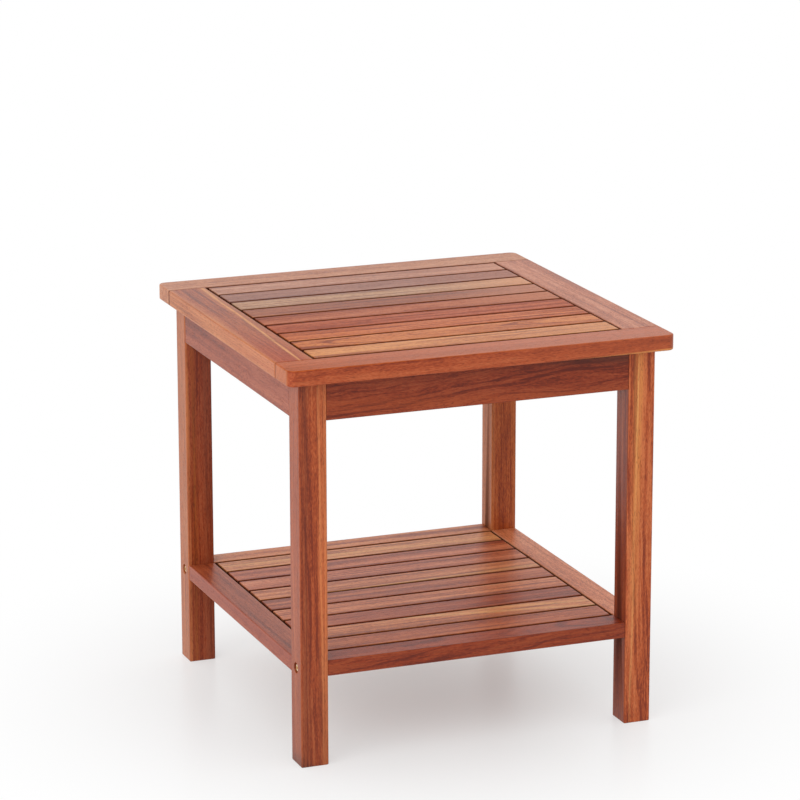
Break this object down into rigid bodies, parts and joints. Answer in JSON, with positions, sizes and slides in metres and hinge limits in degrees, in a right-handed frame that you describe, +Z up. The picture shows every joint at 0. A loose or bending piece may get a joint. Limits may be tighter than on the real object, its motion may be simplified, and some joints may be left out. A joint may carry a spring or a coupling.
{
  "type": "end table with shelf",
  "caption": "Square hardwood end table: slatted top in a framed border, square legs joined by aprons, and a slatted lower shelf bolted between the legs.",
  "frame": {"origin": "on the floor, under the middle of the tabletop", "axes": "+Z up; +X to the right along the slats; +Y to the rear, so the front long board of the top faces -Y"},
  "size_m": [0.457, 0.457, 0.457],
  "materials": {
    "acacia_salmon": "satin oiled acacia, pinkish tan heartwood",
    "acacia_gold": "satin oiled acacia, golden tan with brown streaks",
    "acacia_orange": "satin oiled acacia, red-orange heartwood",
    "acacia_red": "satin oiled acacia, red-brown heartwood",
    "acacia_maroon": "satin oiled acacia, dark red-brown heartwood",
    "acacia_mauve": "satin oiled acacia, mauve-brown heartwood",
    "hidden_hardwood": "planed and left unoiled, plain brown hardwood",
    "dowel_wood": "pale fluted dowel wood, unfinished",
    "brass": "bright brass plate, lightly brushed",
    "zinc_steel": "bright zinc plate"
  },
  "bodies": {
    "root": {"apron_dowels": "dowel_wood", "apron_front": "acacia_maroon", "apron_left": "acacia_mauve", "apron_rear": "acacia_red", "apron_right": "acacia_salmon", "apron_screws": "zinc_steel", "corner_block_front_left": "hidden_hardwood", "corner_block_front_right": "hidden_hardwood", "corner_block_rear_left": "hidden_hardwood", "corner_block_rear_right": "hidden_hardwood", "corner_block_screws": "zinc_steel", "hanger_bolts": "zinc_steel", "hanger_nuts": "zinc_steel", "hanger_washers": "zinc_steel", "leg_front_left": "acacia_red", "leg_front_right": "acacia_orange", "leg_rear_left": "acacia_red", "leg_rear_right": "acacia_orange", "shelf_barrel_nuts": "zinc_steel", "shelf_batten": "hidden_hardwood", "shelf_bolts": "brass", "shelf_cleat_left": "hidden_hardwood", "shelf_cleat_right": "hidden_hardwood", "shelf_rail_dowels": "dowel_wood", "shelf_rail_front": "acacia_red", "shelf_rail_left": "acacia_mauve", "shelf_rail_rear": "acacia_mauve", "shelf_rail_right": "acacia_salmon", "shelf_slat_1": "acacia_mauve", "shelf_slat_2": "acacia_gold", "shelf_slat_3": "acacia_maroon", "shelf_slat_4": "acacia_salmon", "shelf_slat_5": "acacia_maroon", "shelf_slat_6": "acacia_gold", "shelf_slat_7": "acacia_mauve", "shelf_slat_8": "acacia_mauve", "shelf_slat_9": "acacia_gold", "shelf_slat_screws": "zinc_steel", "top_batten": "hidden_hardwood", "top_board_front": "acacia_salmon", "top_board_rear": "acacia_salmon", "top_cleat_left": "hidden_hardwood", "top_cleat_right": "hidden_hardwood", "top_frame_dowels": "dowel_wood", "top_slat_1": "acacia_gold", "top_slat_2": "acacia_orange", "top_slat_3": "acacia_orange", "top_slat_4": "acacia_red", "top_slat_5": "acacia_red", "top_slat_6": "acacia_mauve", "top_slat_7": "acacia_gold", "top_slat_8": "acacia_maroon", "top_slat_9": "acacia_salmon", "top_slat_screws": "zinc_steel", "top_stile_left": "acacia_mauve", "top_stile_right": "acacia_salmon"}
  },
  "joints": []
}
